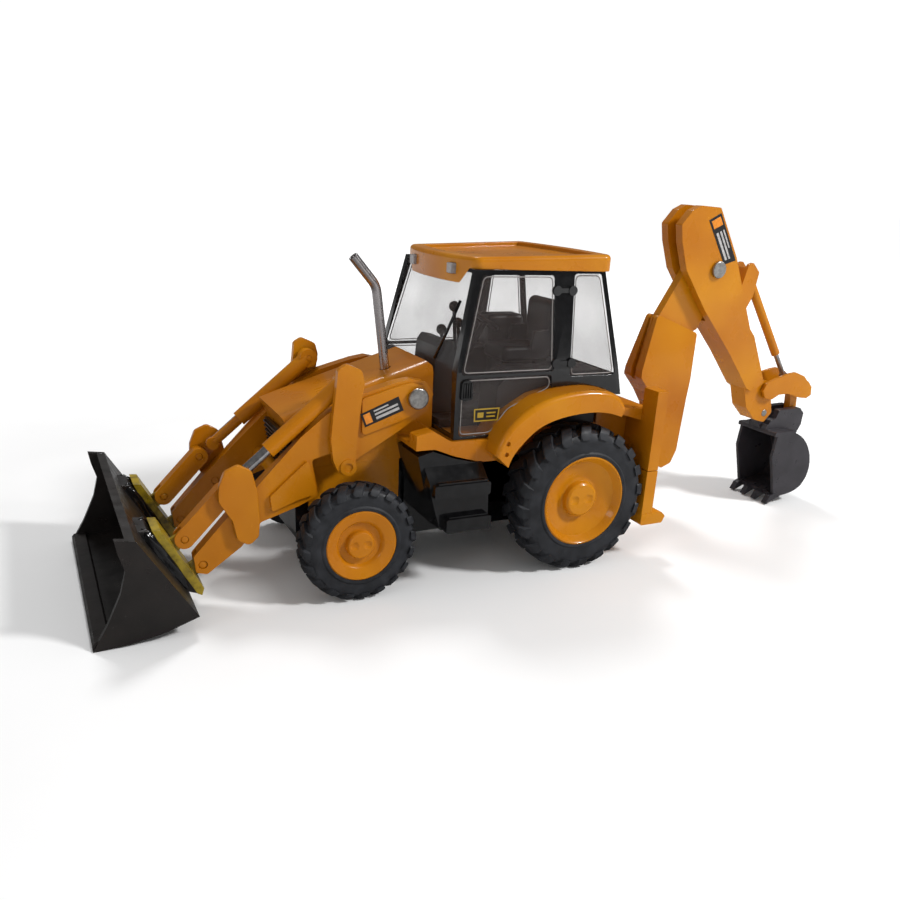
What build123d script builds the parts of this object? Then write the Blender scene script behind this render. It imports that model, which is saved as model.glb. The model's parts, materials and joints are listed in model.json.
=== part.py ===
from build123d import *
import math
import os

# Die-cast toy backhoe loader, about 1:50. Millimetres, +Z up, ground at z = 0.
# +X runs to the rear of the vehicle, +Y to its right-hand side.
# Shapes are drawn with x = 0 at the front axle. save() moves them back so that
# the origin is under the middle of the whole model.

# ---- Driving dimensions --------------------------------------------------------

AXLE_TO_MIDDLE = 38.5
WHEELBASE = 43.4

FRONT_TYRE_R = 10.35
FRONT_TYRE_WIDTH = 5.6
FRONT_TYRE_FACE_Y = 21.3
FRONT_RIM_R = 6.3

REAR_TYRE_R = 13.93
REAR_TYRE_WIDTH = 8.2
REAR_TYRE_FACE_Y = 22.7
REAR_RIM_R = 8.66

LUGS_PER_SIDE = 20
AXLE_R = 1.0
RUNNING_GAP = 0.05
SIDE_GAP = 0.3

UNDERSIDE_Z = 6.0
DECK_Z = 21.2
CAB_FLOOR_Z = 26.2
REAR_PLATE_X = 57.8
BONNET_HALF = 9.0
SILL_Y = 18.2
FENDER_INNER_Y = 14.2
FENDER_OUTER_Y = 22.5
STEP_OUTER_Y = 22.4

ARM_INNER_Y = 9.8
ARM_OUTER_Y = 12.2
LEVER_OUTER_Y = 13.5
RAM_Y = 10.6
RAM_R = 1.4
RAM_ROD_R = 0.95
EAR_LOW_Y = 10.6
EAR_HIGH_Y = 11.4
EAR_GAP = 0.1
LOADER_HALF_WIDTH = 23.4
BUCKET_WALL = 1.0

BOOM_HALF_LOW = 3.2
BOOM_HALF_TOP = 1.75
TONGUE_HALF = 1.0
DIPPER_HALF = 3.25
DIPPER_SLOT_HALF = 1.25
TIP_HALF = 2.3
TIP_SLOT_HALF = 1.3
DIG_HALF_WIDTH = 6.1
STABILISER_INNER_Y = 17.8
STABILISER_OUTER_Y = 22.0

# Pivots, as (x, z).
FRONT_AXLE = (0.0, FRONT_TYRE_R)
REAR_AXLE = (WHEELBASE, REAR_TYRE_R)
LIFT_PIVOT = (13.0, 33.0)
BUCKET_PIVOT = (-24.7, 6.9)
LEVER_PIVOT = (-17.9, 13.9)
LINK_OFFSET = (-2.6, 4.8)
LINK_REAR_PIVOT = (LEVER_PIVOT[0] + LINK_OFFSET[0], LEVER_PIVOT[1] + LINK_OFFSET[1])
LINK_FRONT_PIVOT = (BUCKET_PIVOT[0] + LINK_OFFSET[0], BUCKET_PIVOT[1] + LINK_OFFSET[1])
RAM_REAR_PIVOT = (0.5, 36.1)
RAM_FRONT_PIVOT = (-17.9, 21.0)
RAM_LOWEST_TURN = 0.0587

SWING_AXIS_X = 64.0
BOOM_PIVOT = (77.0, 15.4)
DIPPER_PIVOT = (84.4, 53.8)
DIG_PIVOT = (106.1, 21.8)
ROCKER_OFFSET = (-0.7, 5.8)
ROCKER_PIVOT = (DIG_PIVOT[0] + ROCKER_OFFSET[0], DIG_PIVOT[1] + ROCKER_OFFSET[1])
LINK_LOW_PIVOT = (116.7, 20.8)
LINK_TOP_PIVOT = (LINK_LOW_PIVOT[0] + ROCKER_OFFSET[0], LINK_LOW_PIVOT[1] + ROCKER_OFFSET[1])
DIG_RAM_PIVOT = (95.9, 52.6)
DIG_ROD_PIVOT = (112.3, 29.9)

# Cab levels: height, front x, rear x, half-width.
CAB_LEVELS = [
    (26.4, 18.15, 53.7, 17.3),
    (38.0, 18.4, 51.1, 17.0),
    (54.5, 22.1, 47.6, 14.75),
]
CAB_WALL = 0.7
CAB_TRIM = 0.25


# ---- Shape helpers -------------------------------------------------------------


def slab(points, y_low, y_high, radius=0.0):
    """Plate with an x-z outline, between two y planes, corners rounded."""
    if radius:
        wire = FilletPolyline(*points, radius=radius, close=True)
    else:
        wire = Polyline(*points, close=True)
    face = make_face(Plane.XZ * wire)
    return Pos(0, y_low, 0) * extrude(face, amount=y_high - y_low, dir=(0, 1, 0))


def smooth_slab(upper, lower, y_low, y_high):
    """Plate whose two long edges are curves through the points given."""
    curves = Spline(*upper) + Spline(*lower)
    ends = Line(upper[0], lower[0]) + Line(upper[-1], lower[-1])
    face = make_face(Plane.XZ * (curves + ends))
    return Pos(0, y_low, 0) * extrude(face, amount=y_high - y_low, dir=(0, 1, 0))


def block(x_low, x_high, y_low, y_high, z_low, z_high):
    """Box between two corners."""
    size = Box(x_high - x_low, y_high - y_low, z_high - z_low)
    return Pos((x_low + x_high) / 2, (y_low + y_high) / 2, (z_low + z_high) / 2) * size


def cross_pin(pivot, y_low, y_high, radius):
    """Cylinder along y through a pivot."""
    rod = Cylinder(radius, y_high - y_low, rotation=(90, 0, 0))
    return Pos(pivot[0], (y_low + y_high) / 2, pivot[1]) * rod


def rod_between(start, end, y, radius):
    """Round bar between two x-z points in the plane y."""
    dx = end[0] - start[0]
    dz = end[1] - start[1]
    seat = Plane(origin=(start[0], y, start[1]), z_dir=(dx, 0, dz))
    centred_up = (Align.CENTER, Align.CENTER, Align.MIN)
    return seat * Cylinder(radius, math.hypot(dx, dz), align=centred_up)


def link_plate(start, end, y_low, y_high, radius):
    """Straight plate with round ends about two pivots."""
    angle = math.atan2(end[1] - start[1], end[0] - start[0])
    side_x = -math.sin(angle) * radius
    side_z = math.cos(angle) * radius
    corners = [
        (start[0] + side_x, start[1] + side_z),
        (end[0] + side_x, end[1] + side_z),
        (end[0] - side_x, end[1] - side_z),
        (start[0] - side_x, start[1] - side_z),
    ]
    bar = slab(corners, y_low, y_high)
    return bar + cross_pin(start, y_low, y_high, radius) + cross_pin(end, y_low, y_high, radius)


def along(start, end, distance):
    """Point on the line from start towards end, at a distance from start."""
    length = math.dist(start, end)
    share = distance / length
    return (start[0] + share * (end[0] - start[0]), start[1] + share * (end[1] - start[1]))


def turned(points):
    """Solid of revolution about the y axis from (radius, y) points."""
    face = make_face(Polyline(*points, close=True))
    return revolve(face, Axis.Y)


def both_sides(shape):
    """The shape and its mirror image across the x-z plane."""
    return shape + mirror(shape, about=Plane.XZ)


def save(node, shape):
    """Write one node, with the model's origin under its middle."""
    placed = Pos(-AXLE_TO_MIDDLE, 0, 0) * shape
    solids = placed.solids()
    result = solids[0] if len(solids) == 1 else Compound(children=list(solids))
    export_step(result, f"parts/{node}.step")


def save_pair(name, right_shape):
    """Write a right-hand shape and its left-hand mirror image as two nodes."""
    save(f"{name}_right", right_shape)
    save(f"{name}_left", mirror(right_shape, about=Plane.XZ))


# ---- Wheels --------------------------------------------------------------------


def lug_envelope(radius, width):
    """Outer form that the tread lugs are trimmed to, outer face at y = 0."""
    shoulder = 0.055 * radius
    return turned([
        (radius * 0.6, -0.02),
        (radius - 2.6 * shoulder, -0.02),
        (radius - 1.1 * shoulder, -0.35),
        (radius - 0.3 * shoulder, -0.95),
        (radius, -1.8),
        (radius, 1.8 - width),
        (radius - 0.3 * shoulder, 0.95 - width),
        (radius - 1.1 * shoulder, 0.35 - width),
        (radius - 2.6 * shoulder, 0.02 - width),
        (radius * 0.6, 0.02 - width),
    ])


def tyre(radius, width, rim_radius, bead_radius, lug_height):
    """Tyre with chevron lugs, outer face at y = 0 and the tread towards -y."""
    tread = radius - lug_height
    carcass = turned([
        (bead_radius, -1.1),
        (rim_radius, -1.1),
        (rim_radius, -0.2),
        (rim_radius + 0.5, -0.12),
        (rim_radius + 0.8, -0.3),
        (tread - 1.9, -0.25),
        (tread - 1.0, -0.35),
        (tread - 0.25, -0.85),
        (tread, -1.6),
        (tread, 1.6 - width),
        (tread - 0.25, 0.85 - width),
        (tread - 1.0, 0.35 - width),
        (rim_radius + 0.4, 0.2 - width),
        (bead_radius, 0.6 - width),
    ])
    lug_width = 2 * math.pi * radius / LUGS_PER_SIDE * 0.40
    lug_depth = lug_height * 2.4
    reach = width * 0.60
    lugs = []
    for side in (0, 1):
        centre_y = -reach * 0.42 if side == 0 else reach * 0.42 - width
        slant = 33 if side == 0 else -33
        for i in range(LUGS_PER_SIDE):
            turn = 360 / LUGS_PER_SIDE * (i + 0.5 * side)
            bar = Box(lug_width, reach * 1.08, lug_depth)
            placed = Pos(0, centre_y, radius - lug_depth / 2) * Rot(0, 0, slant) * bar
            lugs.append(Rot(0, turn, 0) * placed)
    trimmed = Part() + lugs
    return carcass + (trimmed & lug_envelope(radius, width))


def front_rim():
    """Front rim: broad flange, shallow dish, boss with two dimples."""
    width = FRONT_TYRE_WIDTH
    disc = turned([
        (AXLE_R, -0.45),
        (2.2, -0.45),
        (2.45, -0.75),
        (2.55, -1.45),
        (3.75, -1.45),
        (4.15, -0.85),
        (4.4, -0.65),
        (FRONT_RIM_R - 0.25, -0.2),
        (FRONT_RIM_R, -0.35),
        (FRONT_RIM_R, -1.1),
        (5.7, -1.1),
        (5.7, 0.7 - width),
        (5.0, 0.7 - width),
        (5.0, -2.4),
        (2.4, -2.4),
        (2.4, 0.4 - width),
        (AXLE_R, 0.4 - width),
    ])
    cap = Pos(0, -0.75, 0) * Cylinder(AXLE_R, 0.6, rotation=(90, 0, 0))
    dimple = Pos(1.15, 0.55, 0) * Sphere(1.25)
    return disc + cap - dimple - Pos(-2.3, 0, 0) * dimple


def rear_rim():
    """Rear rim: thin edge, deep conical dish, boss with two dimples."""
    width = REAR_TYRE_WIDTH
    disc = turned([
        (AXLE_R, -1.0),
        (2.9, -1.0),
        (3.3, -1.35),
        (3.5, -2.35),
        (4.3, -2.5),
        (7.3, -1.5),
        (8.0, -0.55),
        (REAR_RIM_R - 0.3, -0.15),
        (REAR_RIM_R, -0.3),
        (REAR_RIM_R, -1.1),
        (7.9, -1.1),
        (7.9, 0.8 - width),
        (7.0, 0.8 - width),
        (7.0, -3.3),
        (3.2, -3.6),
        (3.2, 0.4 - width),
        (AXLE_R, 0.4 - width),
    ])
    cap = Pos(0, -1.4, 0) * Cylinder(AXLE_R, 0.8, rotation=(90, 0, 0))
    dimple = Pos(1.55, 0.45, 0) * Sphere(1.75)
    return disc + cap - dimple - Pos(-3.1, 0, 0) * dimple


def make_wheels():
    front_tyre = tyre(FRONT_TYRE_R, FRONT_TYRE_WIDTH, FRONT_RIM_R, 5.7, 0.6)
    rear_tyre = tyre(REAR_TYRE_R, REAR_TYRE_WIDTH, REAR_RIM_R, 7.9, 0.85)
    front = Pos(FRONT_AXLE[0], FRONT_TYRE_FACE_Y, FRONT_AXLE[1])
    rear = Pos(REAR_AXLE[0], REAR_TYRE_FACE_Y, REAR_AXLE[1])
    save_pair("front_tyre", front * front_tyre)
    save_pair("front_rim", front * front_rim())
    save_pair("rear_tyre", rear * rear_tyre)
    save_pair("rear_rim", rear * rear_rim())
    front_end = FRONT_TYRE_FACE_Y - 1.05
    rear_end = REAR_TYRE_FACE_Y - 1.8
    save("front_axle", cross_pin(FRONT_AXLE, -front_end, front_end, AXLE_R))
    save("rear_axle", cross_pin(REAR_AXLE, -rear_end, rear_end, AXLE_R))


# ---- Base and body -------------------------------------------------------------


def step_box():
    """Right-hand step box: two ridged treads on a black box."""
    inner = slab(
        [(11.0, 24.2), (13.8, 24.9), (18.0, 23.3), (23.4, 21.9), (24.0, 11.1), (14.4, 11.3), (12.0, 19.5)],
        BONNET_HALF + 0.05, SILL_Y + 0.2,
    )
    outer = slab(
        [(12.0, 19.8), (23.6, 19.9), (23.9, 11.1), (14.4, 11.3)],
        SILL_Y, STEP_OUTER_Y - 1.5, 0.5,
    )
    shoulder = loft([
        Pos(17.8, SILL_Y, 21.1) * Rot(90, 0, 0) * Rectangle(11.2, 2.6),
        Pos(17.8, STEP_OUTER_Y - 1.4, 19.6) * Rot(90, 0, 0) * Rectangle(11.2, 0.6),
    ])
    upper_tread = slab(
        [(12.6, 17.6), (12.6, 19.9), (23.3, 19.9), (23.3, 17.6)],
        STEP_OUTER_Y - 1.6, STEP_OUTER_Y, 0.35,
    )
    lower_tread = slab(
        [(15.0, 11.1), (15.0, 13.6), (23.7, 13.6), (23.7, 11.1)],
        STEP_OUTER_Y - 1.6, STEP_OUTER_Y + 0.1, 0.35,
    )
    box = inner + outer + shoulder + upper_tread + lower_tread
    for y in (STEP_OUTER_Y - 1.3, STEP_OUTER_Y - 0.65):
        box += slab([(13.4, 19.8), (13.4, 20.25), (22.7, 20.25), (22.7, 19.8)], y, y + 0.35)
        box += slab([(15.6, 13.5), (15.6, 13.9), (23.2, 13.9), (23.2, 13.5)], y, y + 0.35)
    return box


def make_chassis_base():
    plate = block(-6.5, 54.0, -8.0, 8.0, UNDERSIDE_Z, 9.0)
    spine = slab(
        [(-7.8, 9.0), (-7.8, 15.5), (-7.2, 17.0), (-7.2, DECK_Z), (REAR_PLATE_X, DECK_Z), (REAR_PLATE_X, 12.0),
         (54.0, 9.0)],
        -8.4, 8.4,
    )
    spine += block(12.4, 24.0, -9.2, 9.2, 11.3, DECK_Z - 0.2)
    front_beam = block(-2.8, 2.8, -15.2, 15.2, FRONT_AXLE[1] - 2.6, FRONT_AXLE[1] + 2.6)
    rear_beam = block(39.6, 47.2, -13.9, 13.9, REAR_AXLE[1] - 4.0, REAR_AXLE[1] + 5.5)
    base = plate + spine + front_beam + rear_beam + both_sides(step_box())
    base -= cross_pin(FRONT_AXLE, -16.0, 16.0, AXLE_R + RUNNING_GAP)
    base -= cross_pin(REAR_AXLE, -16.0, 16.0, AXLE_R + RUNNING_GAP)
    for x in (-3.6, 51.0):
        base -= Pos(x, 0, UNDERSIDE_Z) * Cylinder(1.5, 2.4)
    save("chassis_base", base)
    screws = []
    for x in (-3.6, 51.0):
        head = Pos(x, 0, UNDERSIDE_Z + 0.75) * Cylinder(1.4, 0.9)
        slot = block(x - 1.5, x + 1.5, -0.2, 0.2, UNDERSIDE_Z + 0.2, UNDERSIDE_Z + 0.6)
        screws.append(head - slot)
    save("base_screws", Part() + screws)


def bonnet():
    """Bonnet sloping down to the nose, with rounded top edges."""
    shape = slab(
        [(-9.7, 30.0), (-6.0, 31.3), (16.9, 38.3), (17.6, 37.6), (17.6, DECK_Z), (-7.2, DECK_Z), (-7.9, 26.6)],
        -BONNET_HALF, BONNET_HALF,
    )
    top_edges = shape.edges().filter_by(lambda e: e.center().Z > 29.5 and abs(e.center().Y) > 8.9)
    long_edges = [e for e in top_edges if abs(e.center().X - 5.4) < 8]
    return fillet(long_edges, 2.4)


def fender():
    """Right-hand rear fender, a curved band over the wheel."""
    upper = [(24.0, 24.4), (25.2, 27.4), (28.1, 30.6), (32.8, 33.3), (38.0, 34.5), (44.1, 34.7),
             (48.3, 33.7), (50.4, 31.6)]
    lower = [(26.5, 22.1), (27.4, 24.2), (29.2, 26.3), (31.8, 28.5), (35.4, 30.0), (40.3, 30.8),
             (45.8, 30.7), (49.6, 29.6)]
    band = smooth_slab(upper, lower, FENDER_INNER_Y - 1.2, FENDER_OUTER_Y)
    outer_edges = band.edges().filter_by_position(Axis.Y, FENDER_OUTER_Y - 0.01, FENDER_OUTER_Y + 0.01)
    return fillet(outer_edges.sort_by(SortBy.LENGTH)[-1], 1.0)


def make_body_casting():
    sill = slab(
        [(6.0, 24.9), (10.5, 25.2), (14.2, 25.2), (18.2, 23.6), (23.2, 22.2), (26.6, 22.2),
         (26.8, 25.6), (26.0, 26.2), (17.3, 26.3), (13.9, 28.4), (8.6, 27.4)],
        BONNET_HALF - 0.2, SILL_Y,
    )
    sill -= block(5.0, 10.7, ARM_INNER_Y - 0.5, SILL_Y + 1, 20.0, 30.0)
    sill -= block(10.0, 16.9, ARM_INNER_Y - 0.5, 15.2, 25.9, 30.0)
    rear_deck = slab(
        [(24.0, DECK_Z), (24.0, CAB_FLOOR_Z), (50.6, CAB_FLOOR_Z), (50.6, 31.9), (53.5, 32.2), (55.0, 29.6),
         (REAR_PLATE_X, 29.6), (REAR_PLATE_X, DECK_Z)],
        -FENDER_INNER_Y + 0.9, FENDER_INNER_Y - 0.9,
    )
    bracket = slab([(50.0, 31.6), (49.4, 29.8), (REAR_PLATE_X, 27.4), (REAR_PLATE_X, 29.6), (54.0, 29.9)], 13.0, 17.9)
    skirt = slab([(-6.4, DECK_Z + 0.4), (11.4, DECK_Z + 0.4), (11.4, 13.2), (-5.4, 13.2)], 8.45, BONNET_HALF - 0.02)
    side = sill + fender() + bracket + skirt
    cab_floor = block(10.0, 27.0, -BONNET_HALF, BONNET_HALF, DECK_Z, CAB_FLOOR_Z)
    body = bonnet() + rear_deck + cab_floor + both_sides(side)
    bore = cross_pin(LIFT_PIVOT, 4.0, 10.0, 1.2)
    body -= both_sides(bore)
    for x, z in ((26.2, 26.4), (26.0, 24.5)):
        body -= both_sides(cross_pin((x, z), FENDER_OUTER_Y - 0.5, FENDER_OUTER_Y + 1, 0.42))
    body -= both_sides(slab([(7.5, 34.6), (7.3, 35.1), (9.2, 35.8), (9.4, 35.3)], 8.2, 10.0))
    body -= Pos(10.8, -3, 37.3) * Cylinder(1.0, 5)
    save("body_casting", body)


def make_grille():
    """Dark radiator grille with grey slats under the nose."""
    frame = slab([(-8.1, 26.3), (-8.9, 26.3), (-8.3, 21.4), (-7.45, 21.4)], -7.0, 7.0)
    slats = []
    for i in range(5):
        z = 22.2 + 0.85 * i
        x = -8.55 - 0.12 * i
        slats.append(block(x - 0.25, x + 0.5, -6.4, 6.4, z, z + 0.4))
    save("radiator_grille", frame + slats)


def make_pivot_rivets():
    """Domed rivets that hold the loader arms to the bonnet sides."""
    shaft = cross_pin(LIFT_PIVOT, 5.0, 13.2, 1.2)
    head = Pos(LIFT_PIVOT[0], 13.35, LIFT_PIVOT[1]) * Cylinder(1.85, 0.7, rotation=(90, 0, 0))
    head = fillet(head.edges().filter_by_position(Axis.Y, 13.6, 13.8), 0.3)
    rivet = shaft + head
    save("loader_pivot_rivets", Part() + [rivet, mirror(rivet, about=Plane.XZ)])


def make_exhaust():
    path = FilletPolyline((10.93, 34.85), (8.9, 50.6), (4.7, 55.4), radius=4.0)
    line = Plane(origin=(0, -3, 0), x_dir=(1, 0, 0), z_dir=(0, -1, 0)) * path
    start = Plane(origin=line @ 0, z_dir=line % 0)
    pipe = sweep(start * Circle(0.85), path=line)
    mouth = Plane(origin=line @ 1, z_dir=line % 1)
    pipe -= mouth * Cylinder(0.55, 3.0)
    save("exhaust_stack", pipe)


# ---- Cab -----------------------------------------------------------------------


def extended(level, neighbour, overrun):
    """Cab level run on past the end of the cab, away from its neighbour."""
    share = overrun / abs(neighbour[0] - level[0])
    return tuple(own - share * (other - own) for own, other in zip(level, neighbour))


def cab_solid(inset, overrun=0.0):
    """Cab's tapered box moved in by the inset, run on past both ends."""
    levels = [
        extended(CAB_LEVELS[0], CAB_LEVELS[1], overrun),
        CAB_LEVELS[1],
        extended(CAB_LEVELS[2], CAB_LEVELS[1], overrun),
    ]
    sections = []
    for z, front, rear, half in levels:
        size = Rectangle(rear - front - 2 * inset, 2 * (half - inset))
        sections.append(Pos((front + rear) / 2, 0, z) * size)
    return loft(sections, ruled=True)


def under_cab():
    """Space below the cab's lower edge, over the rear fenders."""
    return slab(
        [(25.0, 20.0), (25.0, 27.4), (28.1, 30.8), (32.8, 33.5), (38.0, 34.8), (44.1, 35.0), (48.3, 34.0),
         (51.5, 32.6), (60.0, 32.4), (60.0, 20.0)],
        -30, 30,
    )


def side_window(points):
    return both_sides(slab(points, 13.6, 30.0, 0.6))


def end_window(x_low, x_high, low_half, high_half, z_low, z_high):
    """Opening in the front or rear of the cab, wider at one end."""
    outline = Polyline((low_half, z_low), (high_half, z_high), (-high_half, z_high), (-low_half, z_low), close=True)
    return Pos(x_low, 0, 0) * extrude(make_face(Plane.YZ * outline), amount=x_high - x_low)


def cab_trim():
    """Thin black frame around all the windows."""
    trim = cab_solid(-CAB_TRIM) - cab_solid(0, 1.0) - under_cab()
    trim -= side_window([(18.95, 37.5), (23.2, 53.7), (37.3, 53.7), (37.4, 37.5)])
    trim -= side_window([(18.9, 26.9), (19.1, 36.9), (37.0, 36.9), (37.2, 34.4), (28.6, 30.9), (25.3, 26.9)])
    trim -= side_window([(40.8, 36.4), (41.4, 54.0), (47.1, 54.0), (50.8, 36.4)])
    trim -= end_window(10.0, 25.0, 16.3, 13.9, 27.2, 53.9)
    trim -= end_window(44.0, 60.0, 16.0, 14.1, 36.4, 53.9)
    return trim


def make_cab():
    save("cab_glazing", cab_solid(0) - cab_solid(CAB_WALL, 1.0) - under_cab())
    save("cab_frame", cab_trim())


def make_door_hardware():
    """Hinges and ribbed handles on both doors."""
    pieces = []
    for z, half in ((51.2, 15.3), (38.9, 17.0)):
        pieces.append(block(37.7, 40.9, half - 0.5, half + 0.4, z - 0.4, z + 0.4))
        for x in (37.7, 40.9):
            pieces.append(cross_pin((x, z), half - 0.5, half + 0.55, 0.85))
    handle = slab([(18.9, 33.2), (19.1, 36.6), (20.9, 36.8), (21.3, 33.4)], 17.2, 17.75, 0.6)
    for i in range(4):
        x = 19.35 + 0.45 * i
        handle += block(x, x + 0.2, 17.6, 18.0, 33.7, 36.3)
    pieces.append(handle)
    side = Part() + pieces - cab_solid(0) - cab_trim()
    save_pair("door_hardware", side)


def make_roof():
    """Roof moulding with a deep front fascia and a raised rim."""
    front = ThreePointArc((22.3, -14.3), (20.2, 0), (22.3, 14.3))
    rear = ThreePointArc((48.2, 16.7), (49.4, 0), (48.2, -16.7))
    sides = Line((22.3, 14.3), (48.2, 16.7)) + Line((22.3, -14.3), (48.2, -16.7))
    face = make_face(front + rear + sides)
    face = fillet(face.vertices(), 1.8)
    top_slope = slab([(15.0, 50.0), (15.0, 56.2), (55.0, 57.6), (55.0, 50.0)], -20, 20)
    cap = Pos(0, 0, 54.5) * extrude(face, amount=4.0) & top_slope
    cap = fillet(cap.edges().filter_by(lambda e: e.center().Z > 56.0), 0.8)
    panel = Pos(0, 0, 54.5) * extrude(offset(face, amount=-2.6, kind=Kind.ARC), amount=4.0)
    cap -= panel - Pos(0, 0, -0.7) * top_slope
    fascia = Pos(0, 0, 51.9) * extrude(face - Pos(1.2, 0, 0) * face, amount=2.6)
    fascia &= block(15.0, 23.2, -20, 20, 50, 60)
    lights = both_sides(block(20.15, 21.4, 7.15, 9.05, 53.3, 55.0))
    save("cab_roof", cap + fascia - lights - cab_solid(-CAB_TRIM))
    save("roof_lights", lights)


def make_interior():
    """Floor, side consoles and rear shelf in one dark moulding."""
    floor = block(19.2, 50.0, -8.9, 8.9, CAB_FLOOR_Z, 27.8)
    outline = [(26.9, CAB_FLOOR_Z), (27.2, 34.8), (30.0, 37.4), (49.0, 37.0), (50.3, 33.6), (50.3, CAB_FLOOR_Z)]
    side = slab(outline, 8.7, 12.9) + (slab(outline, 12.8, 15.4) - under_cab())
    shelf = block(41.5, 50.0, -8.8, 8.8, 27.0, 36.4)
    save("cab_interior", floor + shelf + both_sides(side))


def make_seat():
    pedestal = block(34.6, 41.3, -3.2, 3.2, 27.8, 36.8)
    cushion = fillet(block(34.2, 44.6, -4.4, 4.4, 36.6, 39.6).edges(), 1.0)
    back = slab([(43.5, 37.4), (43.9, 47.9), (46.8, 48.1), (46.4, 37.4)], -4.2, 4.2, 1.3)
    wings = both_sides(slab([(39.8, 38.8), (40.4, 42.4), (43.8, 42.6), (43.8, 38.8)], 3.8, 4.8, 0.6))
    save("driver_seat", pedestal + cushion + back + wings)


def make_controls():
    dash = slab([(19.8, 37.4), (20.1, 40.2), (21.0, 41.4), (23.2, 41.0), (24.2, 38.0), (25.4, 33.0), (23.8, 27.8),
                 (19.5, 27.8)], -4.6, 4.6, 0.6)
    box = fillet(block(36.9, 44.8, 7.0, 12.0, 37.5, 43.9).edges(), 0.9)
    save("control_console", dash + box)
    hub = Pos(32.1, 0, 43.7) * Rot(0, 30.7, 0)
    ring = hub * Torus(2.7, 0.38)
    spokes = hub * Box(5.4, 0.7, 0.45)
    column = rod_between((25.9, 33.3), (32.1, 43.7), 0, 0.55)
    save("steering_wheel", ring + column + spokes)
    levers = []
    for x, y, height in ((27.9, 5.0, 45.9), (25.8, 5.8, 41.5), (30.2, 7.6, 42.4)):
        stem = rod_between((x + 1.4, 27.9), (x, height), y, 0.35)
        levers.append(stem + Pos(x, y, height) * Sphere(1.0))
    save("control_levers", Part() + levers)


# ---- Rear frame and stabilisers ------------------------------------------------


def make_rear_frame():
    plate = block(REAR_PLATE_X, 59.8, -STABILISER_INNER_Y - 0.4, STABILISER_INNER_Y + 0.4, 11.0, 29.6)
    plate -= block(57.0, 61.0, -12.8, -5.6, 14.0, 26.6)
    plate -= block(57.0, 61.0, 5.6, 12.8, 14.0, 26.6)
    housing = block(REAR_PLATE_X, 60.2, STABILISER_INNER_Y, STABILISER_OUTER_Y, 18.3, 33.7)
    housing -= block(58.3, 59.7, STABILISER_INNER_Y + 0.6, STABILISER_OUTER_Y - 0.6, 17.0, 32.9)
    frame = plate + both_sides(housing)
    frame -= both_sides(block(57.0, 61.0, STABILISER_INNER_Y - 0.05, 30.0, 5.0, 18.3))
    for z in (11.4, 23.9):
        lug = block(59.6, SWING_AXIS_X, -3.0, 3.0, z, z + 2.4)
        lug += Pos(SWING_AXIS_X, 0, z + 1.2) * Cylinder(3.0, 2.4)
        frame += lug - Pos(SWING_AXIS_X, 0, z + 1.2) * Cylinder(1.1, 4)
    save("rear_frame", frame)
    pin = Pos(SWING_AXIS_X, 0, 18.85) * Cylinder(1.1, 14.9)
    pin += Pos(SWING_AXIS_X, 0, 26.65) * Cylinder(1.9, 0.7)
    save("kingpost_pin", pin)


def make_stabilisers():
    """Leg that slides in the housing, with its foot."""
    tongue = block(58.4, 59.6, STABILISER_INNER_Y + 0.7, STABILISER_OUTER_Y - 0.7, 17.5, 32.0)
    leg = block(57.75, 60.25, STABILISER_INNER_Y + 0.2, STABILISER_OUTER_Y, 8.6, 18.15)
    foot = slab([(57.7, 7.1), (57.7, 9.4), (62.6, 9.4), (63.6, 8.5), (62.9, 7.1)],
                STABILISER_INNER_Y + 0.1, STABILISER_OUTER_Y + 0.1, 0.4)
    save_pair("stabiliser_leg", tongue + leg + foot)


# ---- Loader --------------------------------------------------------------------


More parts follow.
